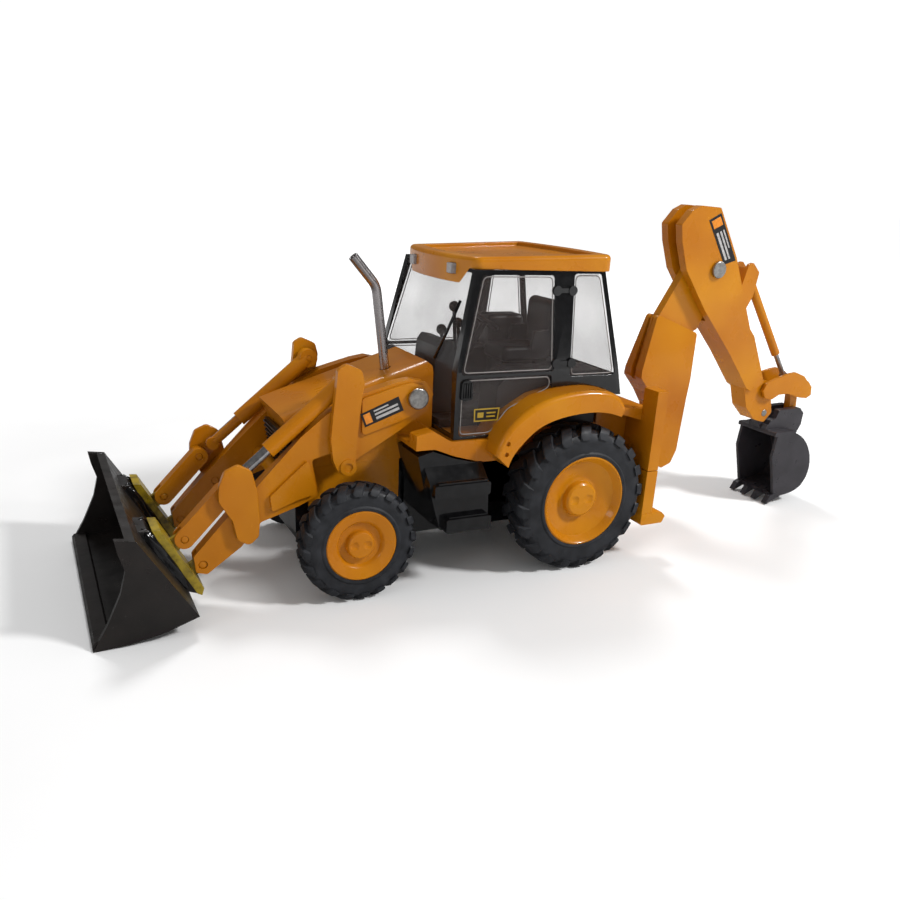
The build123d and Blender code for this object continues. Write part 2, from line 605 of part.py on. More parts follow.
def make_loader_arms():
    plate = slab(
        [(12.0, 36.2), (9.1, 35.7), (2.8, 34.0), (-3.2, 30.9), (-7.6, 27.4), (-15.3, 19.5), (-20.0, 15.1),
         (-26.1, 8.5), (-25.9, 5.6), (-24.1, 5.1), (-18.2, 9.3), (-14.7, 13.3), (-8.2, 15.4), (-4.9, 16.9),
         (-4.9, 18.2), (-5.8, 23.4), (-2.6, 24.2), (1.8, 22.6), (9.3, 26.9), (15.0, 30.4), (16.3, 33.4), (14.8, 35.6)],
        ARM_INNER_Y, ARM_OUTER_Y, 0.6,
    )
    length = math.dist(RAM_REAR_PIVOT, RAM_FRONT_PIVOT)
    resting = math.atan2(RAM_FRONT_PIVOT[1] - RAM_REAR_PIVOT[1], RAM_FRONT_PIVOT[0] - RAM_REAR_PIVOT[0])
    for lowered in (0.0, 0.03, RAM_LOWEST_TURN):
        angle = resting + lowered
        far_end = (RAM_REAR_PIVOT[0] + length * math.cos(angle), RAM_REAR_PIVOT[1] + length * math.sin(angle))
        plate -= rod_between(RAM_REAR_PIVOT, far_end, RAM_Y, RAM_R + 0.22)
    label_band = slab(
        [(3.0, 33.4), (9.1, 35.1), (12.0, 35.7), (14.5, 35.0), (15.8, 33.2), (14.8, 31.1), (12.4, 30.2),
         (10.2, 29.2), (3.0, 27.0)],
        ARM_OUTER_Y - 0.4, ARM_OUTER_Y + 0.5, 0.6,
    )
    gusset = slab(
        [(-6.6, 23.6), (-5.3, 18.4), (-5.4, 17.5), (-8.4, 16.8), (-13.0, 15.1), (-13.2, 17.9)],
        ARM_OUTER_Y - 0.4, ARM_OUTER_Y + 0.7, 0.4,
    )
    post = slab(
        [(0.1, 39.5), (2.6, 38.4), (3.1, 36.4), (2.4, 31.8), (1.7, 25.5), (1.5, 21.8), (0.4, 20.2),
         (-1.4, 20.8), (-2.4, 23.2), (-2.8, 26.8), (-2.3, 31.8), (-1.7, 36.4), (-1.5, 38.6)],
        ARM_OUTER_Y + 0.15, LEVER_OUTER_Y, 1.0,
    )
    post_root = slab([(-1.8, 30.2), (1.8, 31.4), (1.0, 24.9), (-1.5, 24.9)], ARM_OUTER_Y - 0.4, ARM_OUTER_Y + 0.6)
    post_boss = cross_pin((0.2, 21.9), ARM_OUTER_Y + 0.4, LEVER_OUTER_Y + 0.25, 1.45)
    post_boss -= cross_pin((0.2, 21.9), LEVER_OUTER_Y - 0.1, LEVER_OUTER_Y + 1, 0.8)
    ram_pin = cross_pin(RAM_REAR_PIVOT, RAM_Y - 1.2, ARM_OUTER_Y + 0.6, 0.5)
    arm = plate + label_band + gusset + post + post_root + post_boss + ram_pin
    arm -= cross_pin(LIFT_PIVOT, 9.0, 14.0, 1.2 + RUNNING_GAP)
    arm -= cross_pin(LEVER_PIVOT, 9.0, 14.0, 0.7 + RUNNING_GAP)
    arm -= cross_pin(BUCKET_PIVOT, 9.0, 14.0, 0.7 + RUNNING_GAP)
    arm -= cross_pin(BUCKET_PIVOT, EAR_LOW_Y - EAR_GAP, EAR_HIGH_Y + EAR_GAP, 2.4)
    save_pair("loader_arm", arm)
    save("loader_cross_tube", cross_pin((-9.4, 18.6), -ARM_INNER_Y, ARM_INNER_Y, 1.3))


def make_tip_linkage():
    lever = slab(
        [(-20.6, 23.0), (-18.3, 24.0), (-16.2, 22.8), (-15.4, 19.2), (-15.2, 13.8), (-15.5, 11.2), (-17.1, 9.8),
         (-19.1, 11.0), (-19.7, 14.4), (-21.8, 18.0), (-21.6, 20.6)],
        ARM_OUTER_Y + SIDE_GAP, LEVER_OUTER_Y, 1.1,
    )
    lever += cross_pin(LEVER_PIVOT, ARM_INNER_Y + 0.1, ARM_OUTER_Y + 0.4, 0.7)
    lever += cross_pin(LINK_REAR_PIVOT, ARM_INNER_Y + 0.1, ARM_OUTER_Y + 0.4, 0.6)
    save_pair("tip_lever", lever)

    link = link_plate(LINK_FRONT_PIVOT, LINK_REAR_PIVOT, ARM_INNER_Y + 0.1, ARM_OUTER_Y - 0.1, 1.6)
    link -= cross_pin(LINK_REAR_PIVOT, 9.0, 14.0, 0.6 + RUNNING_GAP)
    link -= cross_pin(LINK_FRONT_PIVOT, 9.0, 14.0, 0.6 + RUNNING_GAP)
    link -= cross_pin(LINK_FRONT_PIVOT, EAR_LOW_Y - EAR_GAP, EAR_HIGH_Y + EAR_GAP, 1.95)
    save_pair("tip_link", link)

    neck = along(RAM_REAR_PIVOT, RAM_FRONT_PIVOT, 17.2)
    bore_end = along(RAM_REAR_PIVOT, RAM_FRONT_PIVOT, 5.0)
    ram = rod_between(RAM_REAR_PIVOT, neck, RAM_Y, RAM_R)
    ram += cross_pin(RAM_REAR_PIVOT, RAM_Y - 1.1, RAM_Y + 1.1, 1.65)
    ram -= cross_pin(RAM_REAR_PIVOT, 9.0, 14.0, 0.5 + RUNNING_GAP)
    ram -= rod_between(bore_end, along(RAM_REAR_PIVOT, RAM_FRONT_PIVOT, 18.0), RAM_Y, RAM_ROD_R + RUNNING_GAP)
    save_pair("tip_ram_cylinder", ram)

    rod_start = along(RAM_REAR_PIVOT, RAM_FRONT_PIVOT, 9.0)
    rod_end = along(RAM_REAR_PIVOT, RAM_FRONT_PIVOT, math.dist(RAM_REAR_PIVOT, RAM_FRONT_PIVOT) - 0.4)
    rod = rod_between(rod_start, rod_end, RAM_Y, RAM_ROD_R)
    rod += cross_pin(RAM_FRONT_PIVOT, RAM_Y - 0.8, RAM_Y + 0.8, 1.15)
    save_pair("tip_ram_rod", rod)


def make_loader_bucket():
    """Wide bucket, open at the front, with raised ear plates at its sides."""
    outer = [(-43.3, 0.0), (-38.0, 0.35), (-32.6, 1.4), (-27.5, 3.2), (-35.8, 17.1)]
    cheek = slab(
        [(-43.3, 0.0), (-38.0, 0.35), (-32.6, 1.4), (-27.5, 3.2), (-35.8, 17.1), (-38.7, 17.5), (-38.4, 15.4),
         (-37.6, 12.4), (-38.6, 8.8), (-40.8, 4.2), (-42.6, 1.2)],
        LOADER_HALF_WIDTH - BUCKET_WALL, LOADER_HALF_WIDTH,
    )
    lip = [(-43.3, 0.9), (-42.9, 1.4), (-40.9, 1.8), (-40.6, 1.2)]
    inner = lip + [(-38.0, 1.4), (-33.0, 2.4), (-29.6, 4.0), (-37.2, 17.2)]
    back = slab(outer + list(reversed(inner)), -LOADER_HALF_WIDTH + 0.5, LOADER_HALF_WIDTH - 0.5)
    plate_top = (-31.9, 13.6)
    plate_bottom = (-26.3, 3.1)
    hump = slab([(-35.3, 15.2), (-33.2, 15.0), plate_top, plate_bottom, (-28.4, 3.9)], 8.2, 14.8)

    plate = slab([plate_top, (-32.5, 15.0), (-31.2, 14.9), (-25.2, 3.9), (-25.6, 2.7), plate_bottom], 8.6, 14.9)
    for pivot, foot, radius in ((LINK_FRONT_PIVOT, (-28.9, 10.8), 0.6), (BUCKET_PIVOT, (-26.3, 6.0), 0.7)):
        plate += link_plate(pivot, foot, EAR_LOW_Y, EAR_HIGH_Y, 1.2)
        plate -= cross_pin(pivot, 9.0, 14.0, radius)
    save("loader_bucket", back + both_sides(cheek) + both_sides(hump))
    save_pair("coupling_plate", plate)
    pins = []
    for pivot, radius in ((LINK_FRONT_PIVOT, 0.6), (BUCKET_PIVOT, 0.7)):
        pins.append(cross_pin(pivot, ARM_INNER_Y + 0.1, ARM_OUTER_Y - 0.1, radius))
    right_pins = Part() + pins
    save("coupling_pins", Part() + [right_pins, mirror(right_pins, about=Plane.XZ)])


# ---- Backhoe -------------------------------------------------------------------


def make_kingpost():
    body = slab(
        [(61.9, 14.2), (61.9, 23.6), (66.4, 23.6), (73.0, 18.6), (77.0, 17.6), (79.2, 15.4), (77.0, 13.2), (66.4, 14.2)],
        -1.35, 1.35, 0.6,
    )
    barrel = Pos(SWING_AXIS_X, 0, 18.9) * Cylinder(2.8, 9.4)
    post = body + barrel
    post -= Pos(SWING_AXIS_X, 0, 18.9) * Cylinder(1.1 + RUNNING_GAP, 12)
    post -= cross_pin(BOOM_PIVOT, -4, 4, 0.9 + RUNNING_GAP)
    save("kingpost", post)


def make_boom():
    """Boom: hollow lower casting that narrows upwards, and a thin tongue."""
    outline = [(71.6, 44.7), (82.4, 40.7), (81.2, 26.6), (80.6, 15.2), (79.4, 12.4), (77.0, 11.4), (74.9, 12.6),
               (74.6, 21.0), (73.6, 25.2), (71.4, 28.4), (68.4, 31.8), (68.5, 33.4)]
    low = slab(outline, -BOOM_HALF_LOW, BOOM_HALF_LOW, 0.8)
    taper = Polyline(
        (BOOM_HALF_LOW, 5), (BOOM_HALF_LOW, 31), (BOOM_HALF_TOP, 45.2),
        (-BOOM_HALF_TOP, 45.2), (-BOOM_HALF_LOW, 31), (-BOOM_HALF_LOW, 5), close=True,
    )
    low &= extrude(Pos(60, 0, 0) * make_face(Plane.YZ * taper), amount=30)
    groove = slab([(70.6, 45.5), (67.6, 33.2), (68.8, 30.8), (70.0, 33.0), (73.0, 44.6)], -0.75, 0.75)
    tongue = slab([(72.3, 44.0), (79.6, 56.4), (82.6, 57.8), (87.2, 57.0), (88.2, 52.6), (83.2, 41.4), (76.0, 38.0)],
                  -TONGUE_HALF, TONGUE_HALF, 1.2)
    slot = slab([(73.0, 10.0), (73.0, 26.0), (79.4, 23.0), (79.6, 10.0)], -1.65, 1.65)
    boom = low - groove + tongue - slot
    boom += slab([(71.6, 44.2), (72.6, 44.2), (70.3, 33.6), (69.2, 33.2)], -0.35, 0.35)
    boom -= cross_pin(BOOM_PIVOT, -2.6, 2.6, 0.9)
    boom -= cross_pin(DIPPER_PIVOT, -4, 4, 1.1 + RUNNING_GAP)
    save("boom", boom)
    save("boom_pin", cross_pin(BOOM_PIVOT, -2.6, 2.6, 0.9))


def make_dipper():
    side = slab(
        [(75.7, 65.0), (73.4, 62.3), (74.1, 59.0), (76.2, 53.6), (82.4, 45.8), (91.7, 36.0), (98.3, 28.2),
         (99.6, 27.5), (103.3, 29.2), (97.9, 39.8), (96.3, 41.4), (89.0, 56.3), (82.8, 65.8), (77.8, 66.0)],
        -DIPPER_HALF, DIPPER_HALF, 0.6,
    )
    slot_cut = slab(
        [(70.0, 70.0), (70.0, 48.0), (82.2, 40.0), (88.6, 46.6), (89.4, 54.0), (84.0, 63.8), (81.0, 64.6), (79.0, 70.0)],
        -DIPPER_SLOT_HALF, DIPPER_SLOT_HALF,
    )
    tip = slab(
        [(98.0, 29.6), (100.2, 23.4), (103.4, 20.4), (106.4, 19.6), (108.4, 21.8), (106.9, 27.0), (106.3, 29.2),
         (103.8, 29.6), (101.0, 31.4)],
        -TIP_HALF, TIP_HALF, 0.8,
    )
    tip_slot = slab([(103.4, 15.0), (103.4, 25.0), (112.0, 25.0), (112.0, 15.0)], -TIP_SLOT_HALF, TIP_SLOT_HALF)
    lug = slab([(92.6, 49.2), (94.0, 54.8), (95.2, 55.2), (97.3, 53.2), (96.6, 48.2), (94.6, 44.4)], -2.0, 2.0, 0.6)
    lug_slot = slab([(94.3, 40.0), (93.7, 58.0), (99.0, 58.0), (99.0, 40.0)], -1.25, 1.25)
    dipper = side - slot_cut + tip + (lug - lug_slot)
    dipper -= tip_slot
    dipper -= cross_pin(DIPPER_PIVOT, -4, 4, 1.1)
    dipper -= cross_pin(DIG_PIVOT, -2.4, 2.4, 0.8)
    dipper -= cross_pin(ROCKER_PIVOT, -4, 4, 0.6 + RUNNING_GAP)
    dipper += cross_pin(DIG_RAM_PIVOT, -1.4, 1.4, 0.45)
    save("dipper", dipper)
    rivet = cross_pin(DIPPER_PIVOT, -3.3, 3.3, 1.1)
    for y in (-3.6, 3.6):
        rivet += Pos(DIPPER_PIVOT[0], y, DIPPER_PIVOT[1]) * Cylinder(1.7, 0.7, rotation=(90, 0, 0))
    save("dipper_rivet", rivet)


def make_dig_linkage():
    neck = along(DIG_RAM_PIVOT, DIG_ROD_PIVOT, 21.6)
    ram = rod_between(DIG_RAM_PIVOT, neck, 0, 0.95)
    ram += cross_pin(DIG_RAM_PIVOT, -0.85, 0.85, 1.15)
    ram -= cross_pin(DIG_RAM_PIVOT, -2, 2, 0.45 + RUNNING_GAP)
    bore_start = along(DIG_RAM_PIVOT, DIG_ROD_PIVOT, 9.0)
    ram -= rod_between(bore_start, along(DIG_RAM_PIVOT, DIG_ROD_PIVOT, 22.5), 0, 0.55 + RUNNING_GAP)
    save("bucket_ram_cylinder", ram)
    rod = rod_between(along(DIG_RAM_PIVOT, DIG_ROD_PIVOT, 15.0), DIG_ROD_PIVOT, 0, 0.55)
    rod += cross_pin(DIG_ROD_PIVOT, -0.55, 0.55, 0.8)
    save("bucket_ram_rod", rod)

    cheek_points = [(104.2, 29.0), (107.4, 30.2), (111.0, 31.0), (112.8, 31.2), (115.6, 30.2), (118.6, 27.6),
                    (119.0, 25.6), (117.6, 24.9), (115.2, 25.2), (111.4, 26.3), (108.6, 26.2), (106.6, 25.2),
                    (104.4, 25.6), (103.4, 27.4)]
    cheek = slab(cheek_points, TIP_HALF + SIDE_GAP, TIP_HALF + SIDE_GAP + 0.8, 0.5)
    web = slab([(116.6, 28.6), (117.5, 28.9), (118.9, 27.5), (119.1, 26.2), (118.2, 26.4)], -3.2, 3.2)
    rocker_pin = cross_pin(ROCKER_PIVOT, -3.3, 3.3, 0.6)
    top_pin = cross_pin(LINK_TOP_PIVOT, -3.3, 3.3, 0.6)
    save("bucket_rocker", both_sides(cheek) + web + rocker_pin + top_pin)

    link = link_plate(LINK_LOW_PIVOT, LINK_TOP_PIVOT, -0.9, 0.9, 1.1)
    link -= cross_pin(LINK_TOP_PIVOT, -2, 2, 0.6 + RUNNING_GAP)
    link -= cross_pin(LINK_LOW_PIVOT, -2, 2, 0.6 + RUNNING_GAP)
    save("bucket_link", link)


def make_digging_bucket():
    outer_curve = [(108.0, 17.6), (113.6, 17.4), (117.2, 15.2), (119.7, 11.4), (120.2, 7.0), (118.2, 3.6),
                   (114.4, 2.2), (110.4, 1.6)]
    inner_curve = [(107.7, 16.7), (113.2, 16.5), (116.5, 14.6), (118.7, 11.2), (119.2, 7.3), (117.6, 4.5),
                   (114.2, 3.2), (110.2, 2.6)]
    wall = DIG_HALF_WIDTH - 0.2
    skin = smooth_slab(outer_curve, inner_curve, -wall, wall)
    cheek_face = Spline(*outer_curve) + Polyline(outer_curve[-1], (108.9, 6.6), (107.4, 12.0), outer_curve[0])
    cheek = extrude(make_face(Plane.XZ * cheek_face), amount=0.8, dir=(0, 1, 0))
    cheeks = both_sides(Pos(0, DIG_HALF_WIDTH - 0.8, 0) * cheek)
    teeth = Part()
    for i in range(4):
        y = (i - 1.5) * (2 * DIG_HALF_WIDTH - 1.3) / 3
        tooth = slab([(112.2, 1.9), (111.4, 3.1), (109.0, 2.2), (107.9, 0.1), (109.6, 0.9)], y - 0.75, y + 0.75, 0.12)
        teeth += tooth
    bracket_side = slab(
        [(107.2, 16.9), (107.2, 19.6), (109.6, 20.4), (110.4, 22.3), (116.9, 22.5), (118.3, 21.2), (118.2, 18.4),
         (116.6, 15.4), (112.0, 16.8)],
        1.2, 2.9, 0.4,
    )
    bracket_base = slab([(107.6, 16.9), (107.6, 18.1), (114.6, 18.3), (117.4, 16.6), (116.4, 15.2), (112.0, 16.8)],
                        -2.9, 2.9)
    tongue = slab([(104.9, 22.0), (105.6, 23.2), (107.0, 23.2), (110.9, 21.4), (110.9, 17.2), (107.6, 17.2),
                   (105.0, 20.6)], -1.0, 1.0, 0.4)
    clear = slab([(103.6, 30.0), (108.9, 30.0), (109.3, 21.6), (107.6, 19.05), (103.6, 19.05)], 1.05, 3.6)
    flange = slab([(107.0, 16.9), (107.2, 17.9), (113.8, 17.9), (113.4, 16.9)], -DIG_HALF_WIDTH, DIG_HALF_WIDTH, 0.3)
    bracket = both_sides(bracket_side - clear) + bracket_base + tongue
    bucket = skin + cheeks + teeth + flange + bracket
    bucket -= cross_pin(DIG_PIVOT, -4, 4, 0.8 + RUNNING_GAP)
    bucket -= cross_pin(LINK_LOW_PIVOT, -2.4, 2.4, 0.6)
    save("digging_bucket", bucket)
    dig_pin = cross_pin(DIG_PIVOT, -2.4, 2.4, 0.8)
    save("dipper_tip_pin", dig_pin)
    save("bucket_link_pin", cross_pin(LINK_LOW_PIVOT, -2.4, 2.4, 0.6))


# ---- Build ---------------------------------------------------------------------

os.makedirs("parts", exist_ok=True)
make_wheels()
make_chassis_base()
make_body_casting()
make_grille()
make_pivot_rivets()
make_exhaust()
make_cab()
make_door_hardware()
make_roof()
make_interior()
make_seat()
make_controls()
make_rear_frame()
make_stabilisers()
make_loader_arms()
make_tip_linkage()
make_loader_bucket()
make_kingpost()
make_boom()
make_dipper()
make_dig_linkage()
make_digging_bucket()
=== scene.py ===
import json
import math

import bmesh
import bpy
from mathutils import Matrix, Vector, noise as perlin


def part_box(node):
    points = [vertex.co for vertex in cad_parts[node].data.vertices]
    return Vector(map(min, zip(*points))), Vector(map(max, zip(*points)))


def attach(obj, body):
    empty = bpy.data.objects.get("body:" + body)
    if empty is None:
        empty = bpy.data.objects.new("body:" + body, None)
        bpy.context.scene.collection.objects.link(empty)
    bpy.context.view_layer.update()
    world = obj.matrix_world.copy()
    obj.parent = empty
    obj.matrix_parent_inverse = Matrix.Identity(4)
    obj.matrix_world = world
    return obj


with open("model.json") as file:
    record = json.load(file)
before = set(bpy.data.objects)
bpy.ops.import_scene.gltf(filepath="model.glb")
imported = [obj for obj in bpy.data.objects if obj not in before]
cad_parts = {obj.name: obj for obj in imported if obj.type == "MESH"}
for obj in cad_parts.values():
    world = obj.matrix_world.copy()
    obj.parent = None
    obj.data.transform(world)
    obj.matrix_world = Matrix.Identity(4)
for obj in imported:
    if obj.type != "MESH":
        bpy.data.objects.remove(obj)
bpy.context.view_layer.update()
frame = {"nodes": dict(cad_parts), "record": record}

# Everything is in metres. Lengths below are written in millimetres times MM.
MM = 0.001
FRONT_AXLE_X = (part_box("front_axle")[0].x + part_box("front_axle")[1].x) / 2
SIDES = [("left", -1), ("right", 1)]

# Linear colours.
ENAMEL_DEEP = (0.40, 0.122, 0.002, 1)
ENAMEL_MAIN = (0.47, 0.162, 0.003, 1)
ENAMEL_PALE = (0.56, 0.225, 0.004, 1)
ENAMEL_SPECK = (0.70, 0.34, 0.03, 1)
RUBBER_DARK = (0.008, 0.009, 0.012, 1)
RUBBER_DUSTY = (0.024, 0.026, 0.032, 1)
BLACK = (0.003, 0.003, 0.0035, 1)
BLACK_SOFT = (0.011, 0.011, 0.012, 1)
BUCKET_DARK = (0.008, 0.006, 0.005, 1)
BUCKET_WORN = (0.018, 0.013, 0.011, 1)
# Digging bucket paint: its blue-grey tone is its own, and its extra lightness over the bucket paint is a
# painted sheen.
DIGGING_SHEEN_DARK = (0.024, 0.022, 0.026, 1)
DIGGING_SHEEN_WORN = (0.046, 0.042, 0.049, 1)
BUCKET_SCUFF = (0.10, 0.09, 0.085, 1)
INTERIOR_DARK = (0.010, 0.010, 0.012, 1)
INTERIOR_WORN = (0.022, 0.022, 0.026, 1)
STEEL_DARK = (0.30, 0.29, 0.28, 1)
STEEL_BRIGHT = (0.62, 0.61, 0.59, 1)
EXHAUST_DARK = (0.46, 0.43, 0.43, 1)
EXHAUST_BRIGHT = (0.52, 0.49, 0.49, 1)
ROD_DARK = (0.55, 0.54, 0.55, 1)
ROD_BRIGHT = (0.80, 0.79, 0.80, 1)
COUPLING_DARK = (0.085, 0.058, 0.003, 1)
COUPLING_BRIGHT = (0.36, 0.25, 0.006, 1)
SMOKE_DARK = (0.085, 0.070, 0.066, 1)
SMOKE_PALE = (0.14, 0.12, 0.114, 1)
LAMP_DARK = (0.22, 0.21, 0.21, 1)
LAMP_PALE = (0.36, 0.34, 0.34, 1)
FLOOR_DARK = (0.88, 0.88, 0.88, 1)
FLOOR_PALE = (0.91, 0.91, 0.91, 1)
# Painted reflection: dark grey that the floor shows only where it is reflected.
FLOOR_PAINTED_REFLECTION = (0.22, 0.22, 0.22, 1)

# Nearly all noise values fall between these two.
NOISE_LOW = 0.3
NOISE_HIGH = 0.7


# ---- Material helpers ----------------------------------------------------------


def material(name, roughness=0.4, metallic=0.0, coat=0.0, coat_roughness=0.1):
    """New node material; the values that hold all over go on the shader itself."""
    mat = bpy.data.materials.new(name)
    mat.use_nodes = True
    shader_input(mat, "Roughness").default_value = roughness
    shader_input(mat, "Metallic").default_value = metallic
    shader_input(mat, "Coat Weight").default_value = coat
    shader_input(mat, "Coat Roughness").default_value = coat_roughness
    return mat


def add(mat, kind, **settings):
    """New node of a kind, with its settings."""
    node = mat.node_tree.nodes.new(kind)
    for key, value in settings.items():
        setattr(node, key, value)
    return node


def link(mat, output, target):
    mat.node_tree.links.new(output, target)


def shader_input(mat, name):
    return mat.node_tree.nodes["Principled BSDF"].inputs[name]


def coordinates(mat, stretch=(1, 1, 1)):
    """Object coordinates, which on this model are the row frame in metres."""
    coords = add(mat, "ShaderNodeTexCoord")
    mapping = add(mat, "ShaderNodeMapping")
    mapping.inputs["Scale"].default_value = stretch
    link(mat, coords.outputs["Object"], mapping.inputs["Vector"])
    return mapping.outputs["Vector"]


def noise(mat, size, detail=3.0, roughness=0.5, stretch=(1, 1, 1)):
    """Noise whose features are about size metres across."""
    node = add(mat, "ShaderNodeTexNoise")
    node.inputs["Scale"].default_value = 1.0 / size
    node.inputs["Detail"].default_value = detail
    node.inputs["Roughness"].default_value = roughness
    link(mat, coordinates(mat, stretch), node.inputs["Vector"])
    return node.outputs["Fac"]


def ramp(mat, factor, stops):
    """Colour ramp from (position, colour) stops."""
    node = add(mat, "ShaderNodeValToRGB")
    elements = node.color_ramp.elements
    while len(elements) < len(stops):
        elements.new(0.5)
    for element, (position, colour) in zip(elements, stops):
        element.position = position
        element.color = colour
    link(mat, factor, node.inputs["Fac"])
    return node.outputs["Color"]


def remap(mat, factor, low, high, out_low, out_high):
    """A value from low to high carried over to out_low to out_high, and held at the ends."""
    node = add(mat, "ShaderNodeMapRange")
    values = {"From Min": low, "From Max": high, "To Min": out_low, "To Max": out_high}
    for key, value in values.items():
        node.inputs[key].default_value = value
    link(mat, factor, node.inputs["Value"])
    return node.outputs["Result"]


def mix(mat, factor, colour_a, colour_b):
    """Colour blend; either colour may be a socket or a plain colour."""
    node = add(mat, "ShaderNodeMix", data_type="RGBA")
    link(mat, factor, node.inputs["Factor"])
    for value, socket_name in ((colour_a, "A"), (colour_b, "B")):
        target = [s for s in node.inputs if s.name == socket_name and s.type == "RGBA"][0]
        if isinstance(value, tuple):
            target.default_value = value
        else:
            link(mat, value, target)
    return [s for s in node.outputs if s.type == "RGBA"][0]


def bump(mat, height, strength, depth, below=None):
    """Bump of a depth in metres, optionally on top of another bump."""
    node = add(mat, "ShaderNodeBump")
    node.inputs["Strength"].default_value = strength
    node.inputs["Distance"].default_value = depth
    link(mat, height, node.inputs["Height"])
    if below:
        link(mat, below, node.inputs["Normal"])
    return node.outputs["Normal"]


def set_colour(mat, colour):
    link(mat, colour, shader_input(mat, "Base Color"))


def set_normal(mat, normal):
    link(mat, normal, shader_input(mat, "Normal"))


def vary_roughness(mat, patches, smoothest, roughest):
    """Roughness that drifts between two values over patches of noise."""
    drift = remap(mat, patches, NOISE_LOW, NOISE_HIGH, smoothest, roughest)
    link(mat, drift, shader_input(mat, "Roughness"))


# ---- Materials -----------------------------------------------------------------


def enamel():
    """Thick glossy orange-yellow enamel on a zinc casting."""
    mat = material("enamel_orange_yellow", coat=0.28, coat_roughness=0.04)
    shader_input(mat, "Specular IOR Level").default_value = 0.18
    patches = noise(mat, 18 * MM, detail=2.0)
    broad = ramp(mat, patches, [(0.30, ENAMEL_DEEP), (0.52, ENAMEL_MAIN), (0.80, ENAMEL_PALE)])
    specks = remap(mat, noise(mat, 0.35 * MM, detail=1.0), 0.74, 0.80, 0.0, 0.35)
    set_colour(mat, mix(mat, specks, broad, ENAMEL_SPECK))
    vary_roughness(mat, noise(mat, 5 * MM, detail=4.0), 0.22, 0.40)
    casting = bump(mat, noise(mat, 4.5 * MM, detail=2.0), strength=0.30, depth=0.06 * MM)
    orange_peel = noise(mat, 1.1 * MM, detail=2.0)
    set_normal(mat, bump(mat, orange_peel, strength=0.12, depth=0.012 * MM, below=casting))
    return mat


def rubber():
    """Matte blue-black rubber with patches of dust."""
    mat = material("tyre_rubber")
    patches = noise(mat, 3 * MM, detail=5.0, roughness=0.6)
    set_colour(mat, ramp(mat, patches, [(0.35, RUBBER_DARK), (0.70, RUBBER_DUSTY)]))
    vary_roughness(mat, noise(mat, 1.5 * MM, detail=4.0), 0.50, 0.72)
    grain = noise(mat, 0.4 * MM, detail=4.0, roughness=0.6)
    set_normal(mat, bump(mat, grain, strength=0.35, depth=0.03 * MM))
    return mat


def black_gloss(name, smoothest, roughest):
    """Gloss black plastic with fine dust."""
    mat = material(name, coat=0.4, coat_roughness=0.06)
    dust = noise(mat, 1.2 * MM, detail=6.0, roughness=0.65)
    set_colour(mat, ramp(mat, dust, [(0.45, BLACK), (0.80, BLACK_SOFT)]))
    vary_roughness(mat, noise(mat, 4 * MM, detail=4.0), smoothest, roughest)
    set_normal(mat, bump(mat, noise(mat, 1.6 * MM), strength=0.25, depth=0.03 * MM))
    return mat


def bucket_paint(name, dark, worn):
    """Semi-gloss near-black paint with small scuffs."""
    mat = material(name, coat=0.25, coat_roughness=0.2)
    patches = noise(mat, 6 * MM, detail=6.0, roughness=0.6)
    paint = ramp(mat, patches, [(0.35, dark), (0.75, worn)])
    scuffs = remap(mat, noise(mat, 0.5 * MM), 0.70, 0.78, 0.0, 0.5)
    set_colour(mat, mix(mat, scuffs, paint, BUCKET_SCUFF))
    vary_roughness(mat, noise(mat, 2.5 * MM, detail=5.0), 0.26, 0.50)
    scratches = noise(mat, 1.2 * MM, stretch=(1, 0.15, 1))
    set_normal(mat, bump(mat, scratches, strength=0.25, depth=0.03 * MM))
    return mat


def coupling_paint():
    """Yellow-green enamel, with dark patches where it has rubbed."""
    mat = material("coupling_yellow_green", coat=0.4, coat_roughness=0.12)
    patches = noise(mat, 2.5 * MM, detail=5.0, roughness=0.6)
    set_colour(mat, ramp(mat, patches, [(0.32, COUPLING_DARK), (0.55, COUPLING_BRIGHT)]))
    vary_roughness(mat, noise(mat, 2 * MM), 0.25, 0.45)
    set_normal(mat, bump(mat, noise(mat, 0.9 * MM), strength=0.3, depth=0.03 * MM))
    return mat


def plated(name, dark, bright, smoothest, roughest):
    """Plated steel with fine marks."""
    mat = material(name, metallic=1.0)
    marks = noise(mat, 0.8 * MM, detail=6.0, roughness=0.7)
    set_colour(mat, ramp(mat, marks, [(0.30, dark), (0.65, bright)]))
    vary_roughness(mat, noise(mat, 0.5 * MM, detail=4.0), smoothest, roughest)
    set_normal(mat, bump(mat, noise(mat, 0.35 * MM, detail=4.0), strength=0.4, depth=0.02 * MM))
    return mat


# The loader ram rods turn from enamel to bright steel between these distances from the middle.
ROD_PAINT_Y = 10.35 * MM
ROD_STEEL_Y = 10.6 * MM


def half_plated_rod():
    """Ram rod, bright steel on its outward side and enamelled on the other."""
    mat = material("ram_rod", coat=0.3)
    position = add(mat, "ShaderNodeSeparateXYZ")
    link(mat, coordinates(mat), position.inputs["Vector"])
    outward = add(mat, "ShaderNodeMath", operation="ABSOLUTE")
    link(mat, position.outputs["Y"], outward.inputs[0])
    plating = remap(mat, outward.outputs["Value"], ROD_PAINT_Y, ROD_STEEL_Y, 0, 1)
    paint = ramp(mat, noise(mat, 6 * MM), [(0.3, ENAMEL_DEEP), (0.7, ENAMEL_MAIN)])
    steel = ramp(mat, noise(mat, 0.8 * MM, detail=5.0), [(0.3, ROD_DARK), (0.7, ROD_BRIGHT)])
    set_colour(mat, mix(mat, plating, paint, steel))
    link(mat, plating, shader_input(mat, "Metallic"))
    vary_roughness(mat, noise(mat, 1.5 * MM), 0.14, 0.26)
    set_normal(mat, bump(mat, noise(mat, 0.8 * MM), strength=0.2, depth=0.01 * MM))
    return mat


